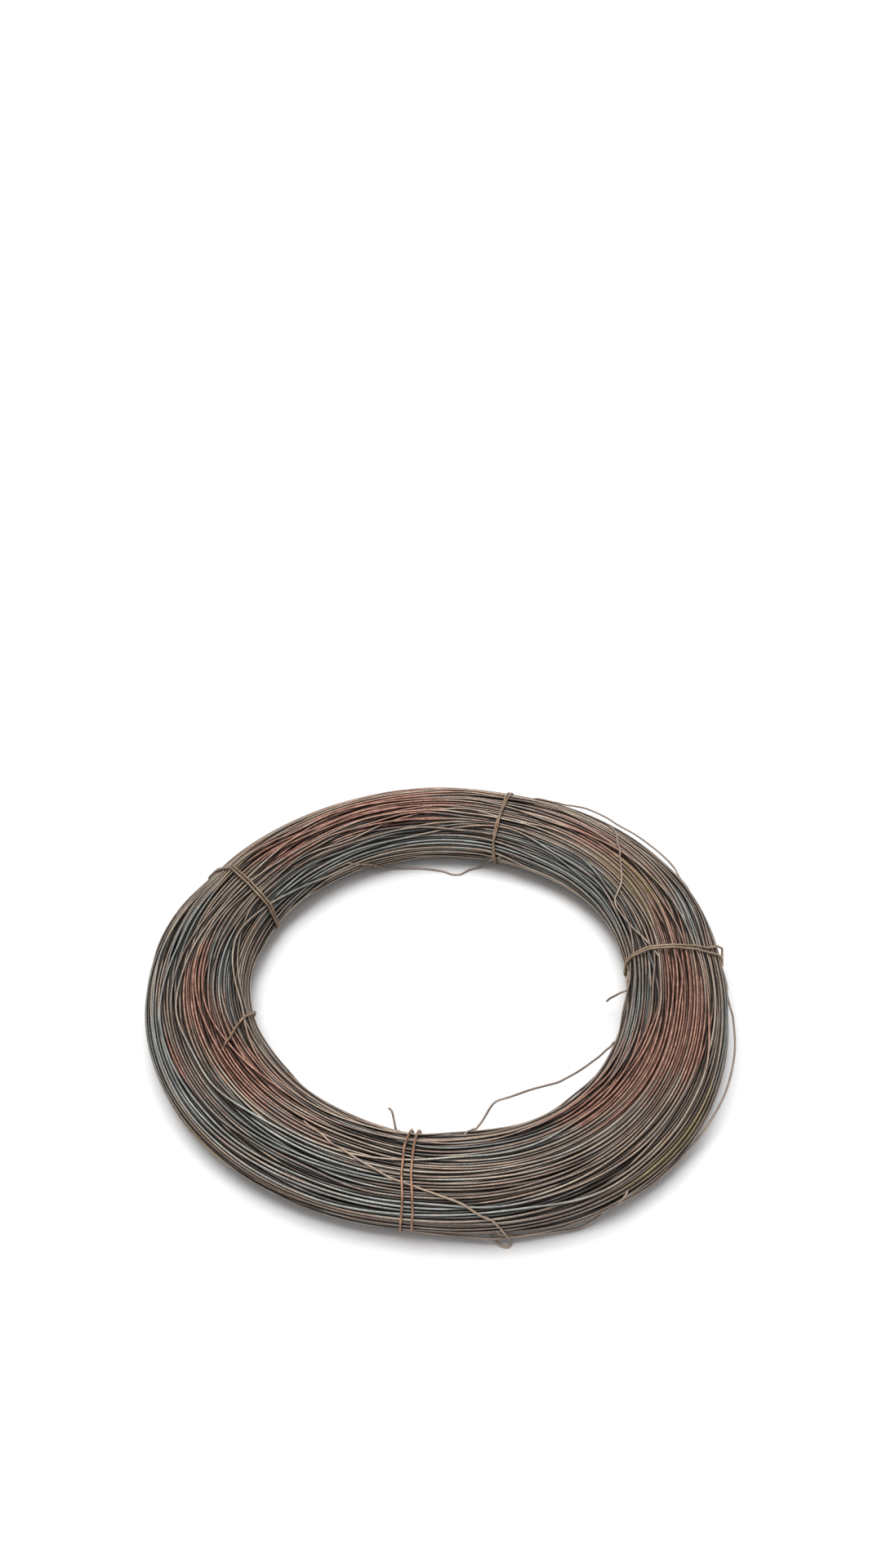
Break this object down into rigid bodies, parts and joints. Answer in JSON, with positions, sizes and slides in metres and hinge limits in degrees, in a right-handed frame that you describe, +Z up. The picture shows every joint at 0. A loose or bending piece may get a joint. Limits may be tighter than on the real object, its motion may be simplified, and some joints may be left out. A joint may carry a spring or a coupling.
{
  "type": "coil of annealed steel tying wire",
  "caption": "Ring-shaped bundle of thin annealed steel wire, held by twisted wire ties, with a few sprung turns and free ends; raw stock for tying, fixing and fencing.",
  "frame": {"origin": "middle of the bounding box, on the floor that the coil lies on", "axes": "+Z up, along the axis of the ring; -Y towards the two-run front tie"},
  "size_m": [0.509, 0.5074, 0.0506],
  "materials": {
    "coiled_wire": "annealed black steel wire, dull, with patches of brown and red rust",
    "tie_wire": "the same wire as the ties, lighter brown with rust"
  },
  "bodies": {
    "root": {"wire_coil": "coiled_wire", "tie_front": "tie_wire", "tie_right": "tie_wire", "tie_back": "tie_wire", "tie_back_left": "tie_wire", "tie_inner_left": "tie_wire", "sprung_turn_front": "coiled_wire", "sprung_turn_back": "coiled_wire", "crossing_turn": "coiled_wire", "free_end_front": "coiled_wire", "slack_turn_front": "coiled_wire", "stray_length_in_bore": "coiled_wire", "slack_turn_back": "coiled_wire", "cut_end_right": "coiled_wire", "cut_end_front": "coiled_wire"}
  },
  "joints": []
}
